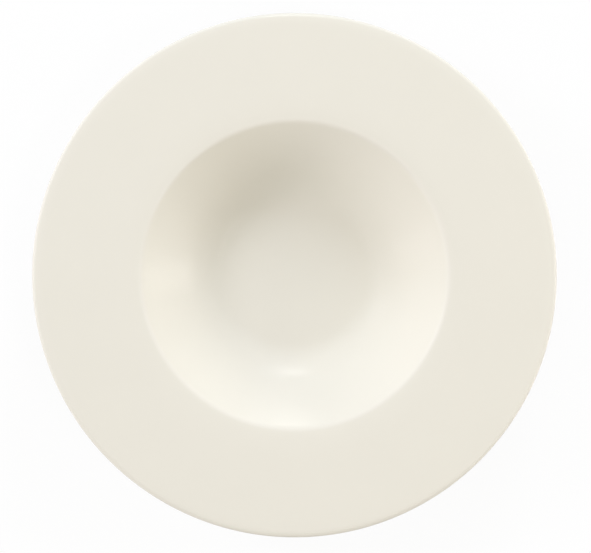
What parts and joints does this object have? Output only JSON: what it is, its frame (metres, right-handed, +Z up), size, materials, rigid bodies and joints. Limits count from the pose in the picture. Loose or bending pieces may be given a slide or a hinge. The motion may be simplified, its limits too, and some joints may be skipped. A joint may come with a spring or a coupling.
{
  "type": "pasta plate",
  "caption": "Round porcelain pasta plate with a wide, nearly level rim and a deep round well with a sloping wall, ivory glazed all over but for the bare foot ring it stands on.",
  "frame": {"origin": "on the table surface, under the centre of the plate", "axes": "+Z up along the plate's axis of revolution; X and Y lie in the table plane and are interchangeable"},
  "size_m": [0.3, 0.3, 0.0429],
  "materials": {
    "ivory_glaze": "smooth glossy ivory glaze",
    "bare_porcelain": "bare fired porcelain, ground smooth, matt"
  },
  "bodies": {
    "root": {"porcelain_body": "bare_porcelain", "glaze_coat": "ivory_glaze", "foot_recess_glaze": "ivory_glaze"}
  },
  "joints": []
}
